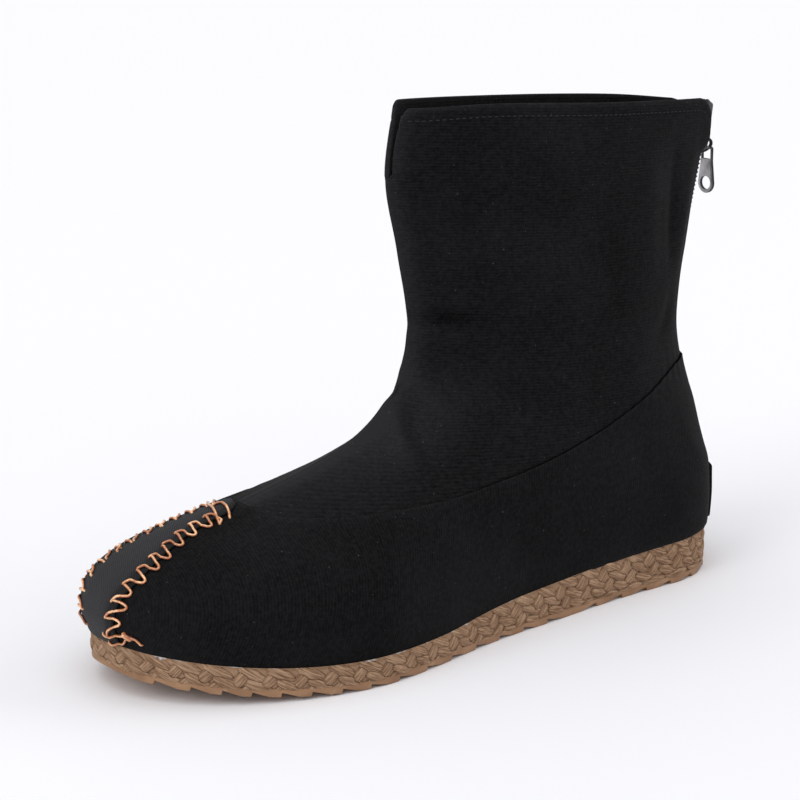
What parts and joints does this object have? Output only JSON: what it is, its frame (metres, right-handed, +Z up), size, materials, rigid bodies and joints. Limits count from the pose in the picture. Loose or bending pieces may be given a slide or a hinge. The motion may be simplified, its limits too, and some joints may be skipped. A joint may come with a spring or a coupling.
{
  "type": "short cloth boot",
  "caption": "Black cloth boot for the left foot with a braided jute sole, a hand-sewn strip over the toe, a notched collar and a back zip with a swinging pull tab.",
  "frame": {"origin": "on the floor, at the middle of the boot's length and width", "axes": "+X from heel to toe, +Y to the foot's outer side, +Z up"},
  "size_m": [0.2842, 0.1022, 0.1937],
  "materials": {
    "outsole": "moulded tan rubber, satin",
    "midsole": "plaited jute, dry and fibrous",
    "insole": "black cloth",
    "upper": "black cotton twill, matt",
    "shaft": "black cotton twill, matt",
    "toe_strip": "black ribbed cotton with copper-coloured hand stitches",
    "heel_patch": "black cotton twill, matt",
    "zip_chain": "black zip teeth on woven tape",
    "zip_slider": "gunmetal",
    "zip_pull": "gunmetal"
  },
  "bodies": {
    "boot": {"outsole": "outsole", "midsole": "midsole", "insole": "insole", "upper": "upper", "shaft": "shaft", "toe_strip": "toe_strip", "heel_patch": "heel_patch", "zip_chain": "zip_chain", "zip_slider": "zip_slider"},
    "pull": {"zip_pull": "zip_pull"}
  },
  "joints": [
    {"name": "pull_hinge", "type": "hinge", "parent": "boot", "child": "pull", "pos_m": [-0.13841, 0.00092, 0.1628], "axis": [0, 1, 0], "range_deg": [-8, 150]}
  ]
}
